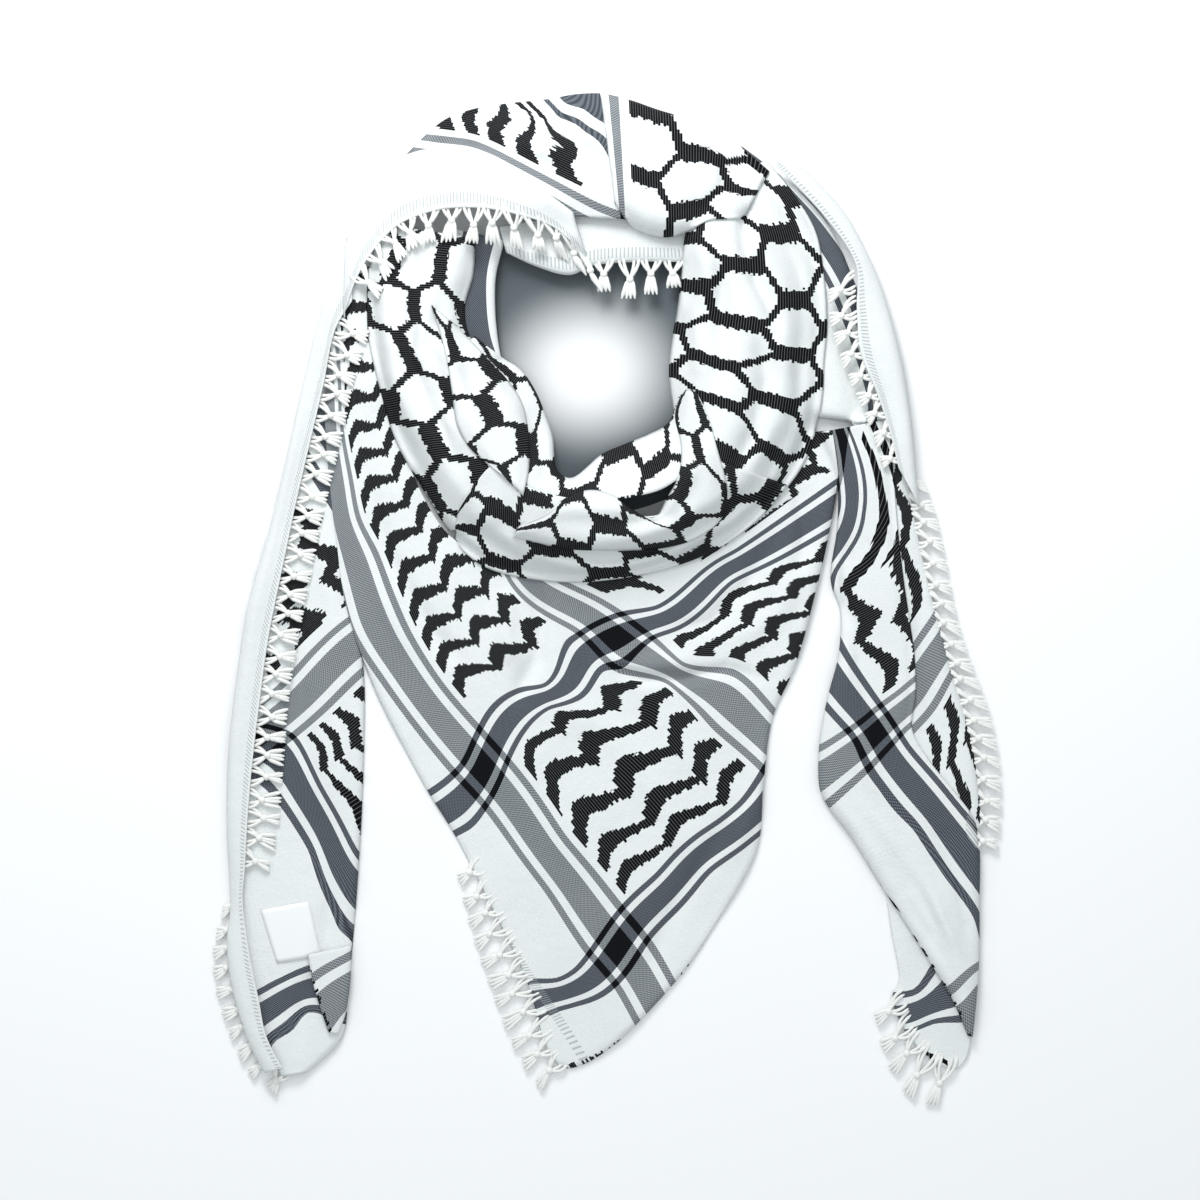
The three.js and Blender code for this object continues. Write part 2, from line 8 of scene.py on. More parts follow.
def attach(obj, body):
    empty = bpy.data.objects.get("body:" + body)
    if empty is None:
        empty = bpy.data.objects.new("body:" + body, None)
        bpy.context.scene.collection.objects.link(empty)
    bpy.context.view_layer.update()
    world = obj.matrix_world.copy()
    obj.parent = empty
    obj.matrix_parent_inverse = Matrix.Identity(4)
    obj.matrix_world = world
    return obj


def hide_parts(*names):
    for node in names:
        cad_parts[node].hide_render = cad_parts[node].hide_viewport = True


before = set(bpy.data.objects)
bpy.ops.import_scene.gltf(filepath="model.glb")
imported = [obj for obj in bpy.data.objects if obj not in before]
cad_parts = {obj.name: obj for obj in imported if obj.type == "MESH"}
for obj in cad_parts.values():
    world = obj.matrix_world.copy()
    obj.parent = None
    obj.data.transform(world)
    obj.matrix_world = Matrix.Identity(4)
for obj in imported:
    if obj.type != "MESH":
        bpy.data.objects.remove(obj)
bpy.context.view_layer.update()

HOME = (6.5, 0.0)      # middle of the scarf's extent in the tables, which is x = y = 0 in the frame
CLOTH = 1.2            # thickness of one layer of the cotton
CELL = 4.0             # spacing of the cloth's grid
YARN = 1.5             # half the thickness of one strand of fringe
TASSEL_PITCH = 18.5    # spacing of the knotted tassels
LABEL_WALL = 0.0005    # thickness of its ribbon in metres
FLOAT_PITCH = 2.1      # spacing of the black floats
STRIPE_REPEAT = 202.0  # from one stripe band to the next
WAVE_ROW = 27.0        # spacing of the wave rows
WAVE_PERIOD = 50.0     # length of one wave
WELL_CENTRE = (-0.018, 0.206, 0.0)    # middle of the neck opening in metres
CAMERA_HEIGHT = 3.2    # over the surface, in metres

# ---- the ring that the neck rolls follow ----
NECK = (-12, 205)
RING_INNER = [77, 84, 97, 98, 98, 95, 72, 56, 64, 80, 78, 84]
RING_OUTER = [212, 232, 240, 250, 246, 226, 205, 192, 196, 188, 188, 205]
RING_CREST = [44, 40, 36, 32, 32, 36, 42, 45, 46, 46, 46, 46]
ACROSS = [0, 0.16, 0.42, 0.68, 0.88, 1]
PART = [0.42, 0.74, 1, 0.86, 0.5, 0.24]


def ease(t):
    """A soft step from 0 to 1."""
    return t * t * (3 - 2 * t)


def heap(x, y):
    """Height of the wound rolls over the surface."""
    dx, dy = x - NECK[0], y - NECK[1]
    turn = np.degrees(np.arctan2(dy, dx)) % 360 / 30
    i = np.floor(turn).astype(int) % 12
    t = ease(turn - np.floor(turn))
    inner, outer, crest = (
        np.take(r, i) * (1 - t) + np.take(r, (i + 1) % 12) * t
        for r in (np.array(RING_INNER, float), np.array(RING_OUTER, float), np.array(RING_CREST, float)))
    q = np.clip((np.hypot(dx, dy) - inner) / (outer - inner), 0, 1)
    k = np.clip(np.searchsorted(ACROSS, q, side="right") - 1, 0, 4)
    lo, hi = np.take(ACROSS, k), np.take(ACROSS, k + 1)
    u = ease((q - lo) / (hi - lo))
    return crest * (np.take(PART, k) * (1 - u) + np.take(PART, k + 1) * u)


# ---- how the weave lies on the folded cloth: where a thread a or b mm from its edge runs ----
BIB_A = [
    (53, [(-253, 170), (-248, 75), (-238, 20), (-225, -30), (-200, -70), (-175, -105), (-135, -155), (-103, -190),
          (-50, -262), (-13, -318), (13, -349), (32, -383)]),
    (109, [(-232, 170), (-228, 140), (-222, 110), (-215, 75), (-200, 45), (-180, -5), (-160, -45), (-140, -75),
           (-108, -112), (-80, -143), (-30, -212), (20, -273), (46, -305), (68, -342)]),
    (255, [(-120, 130), (-95, 60), (-22, -30), (15, -65), (60, -75), (100, -115), (145, -155)]),
    (311, [(-60, 40), (20, -10), (51, -34), (75, -56), (120, -62), (160, -100)]),
    (400, [(60, 60), (120, 20), (180, -20)]),
]
BIB_B = [
    (3, [(-38, -424), (0, -408), (33, -385), (70, -342), (110, -292)]),
    (42, [(-38, -370), (-20, -365), (0, -358), (13, -349), (46, -305), (60, -290), (100, -245), (140, -215)]),
    (98, [(-57, -340), (-40, -340), (-25, -332), (-13, -318), (20, -273), (50, -245), (105, -197), (125, -180),
          (145, -150)]),
    (244, [(-128, -212), (-115, -205), (-103, -190), (-80, -143), (-45, -98), (-15, -88), (3, -64), (20, -62),
           (51, -34), (75, -25), (100, -5), (120, 15)]),
    (300, [(-157, -172), (-125, -145), (-108, -110), (-70, -78), (-50, -75), (-40, -60), (-30, -35), (-22, -30),
           (20, -10), (50, -5), (95, 30), (120, 45)]),
    (333, [(-128, -75)]), (387, [(-155, -32)]), (441, [(-183, 12)]), (495, [(-208, 62)]), (549, [(-225, 115)]),
    (603, [(-232, 168)]), (360, [(-60, 10)]), (410, [(-90, 60)]),
]
LEFT_A = [(200, [(-300, -300), (-290, -380), (-262, -400), (-240, -340), (-285, -425)]),
          (255, [(-275, -125), (-240, -95), (-212, -68)]), (311, [(-290, -77), (-260, -45), (-230, -18)]),
          (400, [(-285, 20), (-230, 60)]), (480, [(-262, 120)]), (180, [(-262, -225)])]
LEFT_B = [(42, [(-300, -170), (-280, -195), (-262, -225), (-248, -265), (-235, -295), (-222, -310)]),
          (98, [(-275, -120), (-250, -165), (-225, -210), (-217, -225)]), (150, [(-240, -120)]),
          (200, [(-225, -70), (-270, 0)]), (170, [(-290, -70)]), (240, [(-235, 60)]),
          (20, [(-272, -290), (-310, -260)]),
          (42, [(-308, -350), (-285, -338), (-262, -328)]), (98, [(-292, -396), (-275, -385), (-262, -370)]),
          (101, [(-290, -425), (-262, -400)])]
LEFT_TIP_A = [(53, [(-252, -330), (-224, -315)]), (60, [(-250, -338), (-224, -323)]),
              (69, [(-246, -348), (-224, -334)]), (95, [(-240, -386), (-228, -370)])]
LEFT_TIP_B = [(1, [(-262, -335), (-250, -365), (-240, -392)]), (30, [(-224, -330), (-226, -365)])]
FRONT_A = [(53, [(205, -188), (240, -155), (275, -118), (300, -98), (312, -346), (340, -324)]),
           (109, [(200, -128), (235, -105), (265, -82), (282, -68)]), (150, [(240, -50)]), (215, [(240, 20)]),
           (240, [(240, 70)]), (250, [(235, 150)]), (15, [(270, -215), (300, -280), (325, -290)]),
           (66, [(318, -362), (340, -340)])]
FRONT_B = [(42, [(206, 150), (211, 110), (213, 85), (206, 62), (203, -100), (225, -125), (250, -170), (280, -205),
                 (310, -250), (335, -285), (341, -305)]),
           (98, [(222, 158), (236, 120), (238, 78), (228, 48), (213, 25), (210, 0), (217, -35), (250, -88),
                 (278, -130), (320, -180), (341, -205)]), (140, [(270, 60), (270, -10)]),
           (2, [(254, -265), (280, -305), (300, -333), (332, -392)]),
           (24, [(206, -172), (222, -200), (236, -226)])]
SIDE_A = [(255, [(280, -122), (300, -100), (318, -68)]), (311, [(281, -38), (300, -10)]), (380, [(265, 60)]),
          (450, [(255, 130)]), (200, [(320, -165)])]
SIDE_B = [(120, [(262, 0), (255, 60), (285, -150)]), (160, [(290, 38), (300, -60)]), (200, [(335, -120)])]
TIP_A = [(20, [(270, -300), (275, -380)]), (40, [(330, -320), (330, -400)])]
BACK_A = [(105, [(-150, 414), (-115, 409), (-100, 403), (-80, 392), (-60, 381), (-40, 370), (-20, 359),
                 (0, 349)]),
          (150, [(-95, 440), (-20, 405)]), (190, [(-50, 452), (20, 440)])]
BACK_B = [(300, [(-52, 450), (-38, 433), (-14, 418), (4, 402), (14, 375), (18, 345)]),
          (285, [(-38, 456), (-15, 440), (6, 425)]), (255, [(0, 462), (22, 445)]),
          (333, [(-25, 408), (-32, 384)]),
          (360, [(-62, 432), (-68, 402)]), (387, [(-88, 443), (-97, 412)]), (414, [(-113, 438), (-118, 418)]),
          (441, [(-138, 430), (-150, 414)])]
PANEL_A = [(20, [(122, 412), (92, 396)]), (40, [(272, 104), (188, 104)])]
PANEL_B = [(98, [(140, 372), (175, 330), (203, 285), (224, 235), (240, 180)]),
           (50, [(172, 374), (206, 335), (236, 290), (252, 240), (268, 180)]), (150, [(170, 240), (190, 120)])]
TIP_B = [(98, [(268, -352), (282, -350), (300, -325)]), (42, [(283, -388), (300, -381), (318, -380)]),
         (5, [(290, -405), (320, -418)]), (150, [(280, -290)])]

# ---- stretches of cloth, from the surface up: sections run from the first edge to the second ----
# height above the surface, or "heap" plus a lift; folds are the edges that roll down
STRETCHES = [
    dict(name="right_tail_tip", height=3.2, radius=8, drop=1, folds="f", a_lines=TIP_A, b_lines=TIP_B,
         rows=[(257, -266, 300, -270), (262, -300, 325, -305), (269, -340, 331, -340), (263, -357, 333, -365),
               (272, -384, 334, -390), (287, -403, 330, -411), (303, -418, 321, -422)]),
    dict(name="right_tail_side", height=10, radius=10, drop=5, folds="s", a_lines=SIDE_A, b_lines=SIDE_B,
         rows=[(226, 160, 266, 176), (242, 128, 272, 134), (250, 90, 279, 92), (258, 40, 290, 38),
               (262, 0, 299, 0),
               (266, -30, 307, -30), (266, -65, 317, -68), (262, -100, 327, -98), (266, -132, 336, -140),
               (290, -168, 341, -178), (318, -196, 342, -206)]),
    dict(name="right_tail_front", height=14, radius=14, drop=9, folds="fs", a_lines=FRONT_A, b_lines=FRONT_B,
         rows=[(196, 150, 258, 162), (212, 110, 263, 116), (213, 66, 267, 66), (207, 20, 272, 20),
               (216, -12, 278, -20), (214, -50, 282, -50), (205, -85, 283, -85), (198, -120, 280, -116),
               (196, -150, 297, -146), (198, -172, 318, -172), (208, -190, 335, -196), (226, -213, 341, -224),
               (256, -262, 341, -270), (279, -298, 341, -308), (297, -327, 340, -335), (316, -358, 338, -362),
               (330, -391, 335, -392)]),
    dict(name="left_tail_panel", height=8, radius=10, drop=5, folds="fs", a_lines=LEFT_A, b_lines=LEFT_B,
         rows=[(-262, 170, -232, 176), (-280, 110, -232, 112), (-300, 50, -226, 50), (-315, 0, -220, 0),
               (-323, -70, -212, -70), (-327, -130, -212, -130), (-329, -180, -214, -190),
               (-329, -230, -217, -240),
               (-326, -270, -219, -270), (-324, -310, -222, -305), (-316, -350, -226, -350),
               (-305, -393, -232, -393),
               (-286, -428, -262, -424)]),
    dict(name="left_tail_tip", height=11, radius=8, drop=3, folds="s", a_lines=LEFT_TIP_A, b_lines=LEFT_TIP_B,
         rows=[(-262, -318, -223, -310), (-257, -345, -224, -340), (-250, -368, -228, -370),
               (-243, -388, -235, -390)]),
    dict(name="front_bib", height=6.5, radius=9, drop=5, folds="s", a_lines=BIB_A, b_lines=BIB_B,
         rows=[(-192, 296, -232, 304), (-196, 250, -243, 252), (-190, 175, -247, 175), (-170, 118, -243, 108),
               (-148, 74, -236, 50), (-128, 52, -229, 0), (-112, 44, -208, -67), (-94, 40, -187, -112),
               (-78, 37, -156, -170), (-62, 36, -129, -214), (-50, 35, -98, -275), (-38, 35, -66, -342),
               (-27, 35, -49, -400), (-14, 35, -28, -421), (-2, 36, 14, -399), (10, 37, 68, -343),
               (24, 39, 100, -298), (42, 43, 140, -228), (58, 47, 147, -165), (78, 54, 155, -107),
               (100, 64, 176, -58), (124, 79, 192, 0), (148, 100, 206, 60), (164, 122, 213, 107),
               (172, 150, 208, 152)]),
    dict(name="right_back_panel", height=11, heap=-4, radius=12, drop=8, folds="se", a_lines=PANEL_A,
         b_lines=PANEL_B, rows=[(92, 396, 122, 412), (128, 366, 174, 372), (152, 330, 205, 338),
                                (166, 290, 229, 285),
                            (170, 240, 247, 235), (172, 190, 259, 190), (180, 166, 238, 158)]),
    dict(name="right_hem", height=20, radius=12, drop=9, folds="s", along=(600, 920), across=(-16, 30),
         rows=[(156, 390, 168, 400), (200, 344, 216, 352), (228, 302, 242, 306), (230, 262, 257, 266),
               (233, 222, 270, 215), (247, 187, 278, 165), (258, 155, 282, 122), (267, 118, 286, 84)]),
    dict(name="inner_left_band", height=17, radius=8, drop=7, folds="s", along=(500, 620), across=(50, 92),
         turned=True, rows=[(-130, 332, -84, 322), (-134, 296, -92, 292), (-132, 262, -93, 262),
                            (-124, 238, -91, 236), (-106, 220, -88, 216)]),
    dict(name="inner_hem", height=18, radius=10, drop=4, folds="s", along=(600, 780), across=(32, -16),
         rows=[(-90, 334, -84, 311), (-60, 340, -58, 299), (-30, 346, -28, 291), (-4, 350, -4, 300),
               (35, 350, 35, 303), (66, 345, 70, 303), (88, 338, 92, 308)]),
    dict(name="back_of_neck", heap=0, radius=14, drop=12, folds="f", a_lines=BACK_A, b_lines=BACK_B,
         rows=[(-174, 401, -166, 390), (-156, 419, -150, 372), (-136, 434, -126, 362), (-108, 443, -100, 356),
               (-80, 447, -74, 350), (-50, 450, -46, 345), (-20, 455, -18, 342), (6, 455, 14, 340),
               (30, 448, 46, 338)]),
    dict(name="right_roll", heap=0, radius=22, drop=20, folds="fs", along=(486, 800), across=(335, 452),
         rows=[(84, 352, 150, 396), (76, 326, 190, 338), (73, 298, 201, 292), (70, 266, 204, 250),
               (65, 236, 201, 212),
               (62, 208, 199, 178), (64, 182, 191, 143), (70, 150, 178, 114), (76, 122, 150, 80)]),
    dict(name="left_roll", heap=1, radius=20, drop=18, folds="fs", along=(345, 640), across=(325, 432),
         turned=True,
         rows=[(-196, 336, -112, 322), (-207, 300, -113, 292), (-209, 265, -121, 260), (-207, 230, -113, 230),
               (-196, 184, -80, 194), (-183, 142, -64, 157), (-163, 106, -62, 120), (-148, 80, -66, 92),
               (-136, 62, -78, 72)]),
    dict(name="inner_lip", heap=-2, radius=12, drop=12, folds="f", along=(330, 700), across=(380, 425),
         turned=True,
         rows=[(-112, 236, -122, 226), (-90, 219, -106, 208), (-72, 208, -88, 190), (-58, 188, -76, 168),
               (-48, 164, -70, 146), (-42, 146, -68, 122), (-39, 118, -60, 92), (-24, 110, -30, 82),
               (0, 130, 4, 88), (22, 140, 30, 92), (44, 149, 58, 100), (62, 160, 82, 122), (70, 182, 92, 158)]),
    dict(name="front_roll", heap=2, radius=22, drop=26, folds="se", along=(330, 640), across=(345, 440),
         turned=True,
         rows=[(88, 128, 168, 103), (84, 106, 150, 80), (74, 88, 130, 62), (56, 76, 106, 46), (30, 74, 76, 33),
               (2, 82, 40, 23), (-26, 90, 0, 17), (-52, 96, -36, 16), (-74, 106, -70, 20), (-93, 120, -100, 28),
               (-111, 103, -121, 42), (-127, 79, -131, 57)]),
    dict(name="cowl_fold", heap=7, radius=16, drop=13, folds="fsbe", along=(350, 700), across=(352, 408),
         turned=True,
         rows=[(74, 188, 85, 187), (67, 165, 95, 166), (72, 137, 103, 138), (70, 112, 113, 98), (60, 92, 108, 72),
               (48, 73, 84, 54), (30, 80, 54, 46), (12, 93, 24, 44), (-8, 98, -8, 44), (-28, 92, -36, 46),
               (-50, 76, -60, 52), (-72, 66, -78, 56)]),
    dict(name="left_fold", heap=7, radius=14, drop=11, folds="fsbe", along=(340, 560), across=(335, 385),
         turned=True,
         rows=[(-150, 262, -127, 244), (-138, 222, -112, 228), (-132, 188, -87, 202), (-128, 158, -70, 178),
               (-118, 138, -64, 152), (-104, 124, -63, 118), (-88, 112, -68, 92)]),
    dict(name="left_hem", height=15, radius=12, drop=8, folds="f", along=(600, 1300), across=(30, -16),
         rows=[(-222, 332, -222, 268), (-240, 292, -238, 240), (-255, 243, -248, 192), (-270, 180, -260, 140),
               (-285, 112, -273, 84), (-300, 52, -285, 26), (-315, 0, -297, -34), (-325, -60, -305, -92),
               (-333, -130, -312, -152), (-335, -190, -316, -202), (-333, -240, -318, -240),
               (-332, -275, -320, -272),
               (-335, -310, -313, -322), (-330, -350, -306, -356), (-318, -390, -299, -390),
               (-302, -424, -284, -420)]),
    dict(name="nape_hem", heap=7, radius=12, drop=9, folds="fbe", along=(600, 900), across=(36, -16),
         rows=[(-24, 346, -9, 300), (-46, 362, -38, 330), (-76, 384, -75, 343), (-110, 401, -110, 349),
               (-150, 405, -145, 347), (-181, 397, -177, 337), (-198, 379, -201, 316), (-212, 356, -218, 288),
               (-228, 324, -230, 252)]),
    dict(name="right_shoulder", heap=6, radius=18, drop=15, folds="fsbe", along=(296, 425), across=(424, 530),
         turned=True, rows=[(0, 456, 13, 353), (26, 450, 29, 333), (52, 441, 55, 324), (78, 433, 78, 328),
                            (104, 422, 98, 338), (130, 404, 124, 340), (152, 384, 134, 352)]),
]

# ---- fringes: sections from the hem to the tassels' ends, laid after the stretch named ----
FRINGES = [
    dict(name="left_tip_tassels", after=None, height=1, rows=[
        (-322, -262, -338, -276), (-325, -300, -347, -312), (-318, -340, -345, -350), (-308, -375, -332, -392),
        (-297, -405, -315, -426), (-282, -424, -290, -446)]),
    dict(name="bib_tassels", after=None, height=1, rows=[
        (-110, -230, -128, -246), (-96, -262, -120, -280), (-80, -298, -109, -318), (-62, -338, -96, -355),
        (-50, -370, -83, -391), (-41, -400, -67, -421), (-33, -417, -50, -445)]),
    dict(name="right_tip_tassels", after=None, height=1, rows=[
        (270, -354, 246, -370), (279, -381, 254, -404), (291, -398, 266, -430), (304, -411, 286, -455),
        (318, -414, 309, -450)]),
    dict(name="right_tail_tassels", after=None, height=3, rows=[
        (262, 118, 292, 106), (276, 84, 302, 76), (284, 48, 310, 40), (292, 0, 320, -12), (300, -35, 330, -46),
        (308, -68, 342, -78), (318, -98, 352, -108), (328, -140, 359, -150), (332, -180, 360, -190),
        (332, -222, 356, -226)]),
    dict(name="right_hem_tassels", after="right_back_panel", height=14, rows=[
        (226, 292, 205, 278), (228, 262, 206, 250), (236, 228, 216, 214), (247, 193, 230, 182),
        (259, 163, 243, 150), (269, 127, 254, 116)]),
    dict(name="inner_hem_tassels", after="inner_left_band", height=12, rows=[
        (-6, 309, -4, 281), (18, 309, 18, 270), (42, 309, 42, 273), (62, 309, 61, 277), (76, 310, 75, 286)]),
    dict(name="left_tassels", after="left_fold", height=8, rows=[
        (-234, 250, -206, 240), (-247, 205, -220, 196), (-260, 150, -232, 142), (-275, 90, -246, 84),
        (-288, 30, -258, 26), (-301, -30, -270, -34), (-310, -90, -279, -92), (-316, -150, -284, -152),
        (-320, -200, -288, -204), (-322, -234, -298, -246)]),
    dict(name="nape_tassels", after="left_hem", heap=3, rows=[
        (-12, 306, 3, 275), (-40, 336, -28, 303), (-75, 349, -71, 313), (-110, 355, -112, 317),
        (-146, 353, -148, 318), (-180, 342, -167, 311), (-205, 320, -185, 292), (-222, 290, -198, 267)]),
]

# ---- folds within a stretch: where they run, how wide and how high (a trough is below zero) ----
CREASES = [
    ("right_roll", [(122, 392), (127, 352), (131, 312), (140, 285), (152, 262), (160, 235)], 6, -10),
    ("right_roll", [(108, 300), (110, 240), (108, 190)], 6, -7),
    ("right_roll", [(172, 330), (182, 290), (186, 240), (176, 190)], 8, -6),
    ("right_roll", [(140, 235), (150, 200), (138, 150), (120, 118)], 8, -7),
    ("right_roll", [(90, 330), (96, 280), (90, 230), (92, 180)], 8, 4),
    ("right_roll", [(165, 225), (170, 185), (160, 140)], 8, 4),
    ("left_roll", [(-160, 312), (-168, 260), (-170, 215), (-150, 170), (-125, 120)], 6, -8),
    ("left_roll", [(-190, 300), (-192, 250), (-185, 200), (-165, 150)], 7, 5),
    ("left_roll", [(-140, 270), (-150, 225), (-140, 185), (-118, 150)], 7, -7),
    ("right_roll", [(196, 300), (190, 250), (194, 205)], 6, -4),
    ("right_roll", [(80, 300), (76, 250), (80, 200), (76, 160)], 6, -4),
    ("left_roll", [(-178, 330), (-180, 285), (-186, 240)], 6, -5),
    ("left_roll", [(-205, 250), (-196, 200), (-178, 150), (-150, 100)], 6, -4),
    ("left_roll", [(-122, 250), (-118, 215), (-96, 180)], 6, -5),
    ("front_roll", [(-115, 66), (-95, 48), (-60, 30), (-20, 26)], 6, -4),
    ("front_roll", [(30, 66), (70, 72), (110, 92), (140, 94)], 6, -5),
    ("front_roll", [(50, 40), (90, 56), (130, 74)], 6, 4),
    ("front_roll", [(-110, 85), (-60, 50), (0, 38), (60, 48), (112, 80)], 7, -8),
    ("front_roll", [(-90, 65), (-40, 34), (20, 27), (80, 46)], 7, 4),
    ("cowl_fold", [(82, 160), (90, 110), (66, 74), (20, 68), (-40, 70)], 6, -5),
    ("inner_lip", [(-86, 200), (-58, 155), (-48, 110), (0, 110), (50, 125)], 6, -5),
    ("left_fold", [(-132, 240), (-112, 190), (-92, 150)], 7, -5),
    ("back_of_neck", [(-150, 408), (-110, 408), (-60, 392), (-10, 372)], 7, -6),
    ("back_of_neck", [(-60, 440), (-30, 415), (0, 390), (12, 362)], 7, -7),
    ("right_shoulder", [(60, 432), (90, 400), (118, 356)], 8, 4),
    ("right_shoulder", [(96, 425), (126, 392), (140, 366)], 6, -5),
    ("right_shoulder", [(118, 400), (112, 372), (96, 346), (82, 332)], 7, -7),
    ("right_shoulder", [(40, 440), (46, 400), (42, 350)], 9, -3),
    ("right_shoulder", [(70, 350), (96, 348), (120, 352)], 7, -5),
    ("nape_hem", [(-60, 366), (-110, 382), (-160, 382), (-196, 352)], 9, -3),
    ("front_bib", [(10, -60), (40, -70), (75, -70), (112, -62), (150, -72)], 5, -5),
    ("front_bib", [(0, -52), (40, -58), (90, -54)], 9, 4),
    ("front_bib", [(-62, 20), (-52, -20), (-58, -55), (-78, -92)], 8, -5),
    ("front_bib", [(-82, 10), (-84, -30), (-78, -60)], 8, 4),
    ("front_bib", [(-238, 150), (-222, 60), (-190, -10), (-160, -60)], 10, 3),
    ("front_bib", [(-214, 120), (-192, 40), (-150, -30), (-120, -60)], 9, -3),
    ("front_bib", [(-40, -90), (10, -120), (60, -190), (88, -250)], 16, 2.5),
    ("front_bib", [(-100, -180), (-40, -240), (0, -320)], 14, -2),
    ("front_bib", [(120, -190), (96, -230), (60, -290), (40, -350)], 9, -3),
    ("front_bib", [(146, -120), (140, -180), (120, -230)], 9, 4),
    ("front_bib", [(160, 60), (130, 10), (100, -20), (60, -30)], 9, -4),
    ("front_bib", [(190, 40), (160, -10), (120, -40)], 10, 3),
    ("front_bib", [(176, 110), (184, 60), (176, 10)], 8, -4),
    ("right_tail_front", [(216, 10), (232, -40), (240, -90), (262, -150)], 9, -4),
    ("right_tail_front", [(232, -130), (262, -200), (300, -270), (325, -340)], 8, 4),
    ("right_tail_front", [(250, -170), (285, -250), (312, -320)], 7, -4),
    ("right_tail_front", [(300, -190), (322, -250), (334, -320)], 7, -3),
    ("right_tail_front", [(225, -190), (265, -250), (312, -332)], 5, -2.5),
    ("right_tail_front", [(240, -186), (285, -250), (326, -320)], 4, 2),
    ("right_tail_front", [(212, -178), (250, -228), (292, -292)], 5, 2),
    ("right_tail_front", [(222, 60), (220, 20), (222, -20)], 6, -5),
    ("right_tail_side", [(282, 40), (288, -30), (300, -120)], 7, -3),
    ("left_tail_panel", [(-250, 80), (-240, -20), (-236, -120), (-232, -220)], 9, 3),
    ("left_tail_panel", [(-280, 10), (-272, -80), (-262, -160), (-252, -260)], 9, -3.5),
    ("left_tail_panel", [(-240, -250), (-246, -300), (-262, -350), (-272, -400)], 7, -3),
    ("right_hem", [(206, 330), (232, 270), (252, 210), (268, 150)], 7, -3),
    ("left_hem", [(-252, 230), (-284, 100), (-310, -20), (-324, -130)], 6, 2),
    ("right_back_panel", [(170, 350), (206, 280), (226, 200), (238, 130)], 9, -5),
]


def smooth_rows(rows, s):
    """The rows' columns at the parts s of the length of their middle line, as a curve through them."""
    r = np.array(rows, float)
    mid = (r[:, 0:2] + r[:, 2:4]) / 2
    step = np.hypot(*np.diff(mid, axis=0).T)
    along = np.concatenate([[0], np.cumsum(step)])
    at = np.interp(s, along / along[-1], np.arange(len(r)))
    i = np.clip(np.floor(at).astype(int), 0, len(r) - 2)
    t = (at - i)[..., None]
    p0, p1, p2, p3 = r[np.maximum(i - 1, 0)], r[i], r[i + 1], r[np.minimum(i + 2, len(r) - 1)]
    return 0.5 * (2 * p1 + (p2 - p0) * t + (2 * p0 - 5 * p1 + 4 * p2 - p3) * t ** 2
                  + (3 * p1 - p0 - 3 * p2 + p3) * t ** 3), along[-1]


def line_gap(x, y, line):
    """Distance to a line of points, and how far along it as a part of its length."""
    best, part = np.full(x.shape, 1e9), np.zeros(x.shape)
    for k, ((ax, ay), (bx, by)) in enumerate(zip(line, line[1:])):
        ux, uy = bx - ax, by - ay
        t = np.clip(((x - ax) * ux + (y - ay) * uy) / (ux * ux + uy * uy), 0, 1)
        d = np.hypot(x - ax - ux * t, y - ay - uy * t)
        part = np.where(d < best, (k + t) / (len(line) - 1), part)
        best = np.minimum(best, d)
    return best, part


def spread(lines):
    """A thin plate through the values along the lines, as a function of x and y."""
    p = np.array([(x, y, v) for v, line in lines for x, y in line], float)
    n = len(p)

    def bend(x, y):
        d2 = ((x[..., None] - p[:, 0]) ** 2 + (y[..., None] - p[:, 1]) ** 2) / 1e4
        return 0.5 * d2 * np.log(d2 + 1e-12)
    m = np.zeros((n + 3, n + 3))
    m[:n, :n] = bend(p[:, 0], p[:, 1]) + 0.002 * np.eye(n)
    m[:n, n:] = np.column_stack([np.ones(n), p[:, 0] / 100, p[:, 1] / 100])
    m[n:, :n] = m[:n, n:].T
    w = np.linalg.solve(m, np.concatenate([p[:, 2], np.zeros(3)]))
    return lambda x, y: bend(x, y) @ w[:n] + w[n] + w[n + 1] * x / 100 + w[n + 2] * y / 100


LAID = []      # what is already on the surface: (tree, lowest x, lowest y, highest x, highest y)


def ground(x, y):
    """Highest point of what is already laid at x, y in mm."""
    top = 0.0
    at = Vector(((x - HOME[0]) / 1000, (y - HOME[1]) / 1000, 1.0))
    for tree, x0, y0, x1, y1 in LAID:
        if x0 <= at.x <= x1 and y0 <= at.y <= y1:
            hit = tree.ray_cast(at, Vector((0, 0, -1)))[0]
            if hit is not None:
                top = max(top, hit.z * 1000)
    return top


def face_up(bm):
    """Turns an open sheet over if its faces point down."""
    bm.normal_update()
    if sum(f.normal.z for f in bm.faces) < 0:
        bmesh.ops.reverse_faces(bm, faces=bm.faces)


def lay(bm):
    """Adds a sheet to what is already on the surface."""
    xs, ys = [v.co.x for v in bm.verts], [v.co.y for v in bm.verts]
    LAID.append((BVHTree.FromBMesh(bm), min(xs), min(ys), max(xs), max(ys)))


def finish_piece(name, bm, material, nodes):
    """Makes the mesh a piece that rides on the part and stands for its nodes."""
    for face in bm.faces:
        face.smooth = True
    mesh = bpy.data.meshes.new(name)
    bm.to_mesh(mesh)
    bm.free()
    mesh.materials.append(material)
    piece = bpy.data.objects.new(name, mesh)
    bpy.context.scene.collection.objects.link(piece)
    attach(piece, "root")
    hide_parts(*nodes)
    return piece


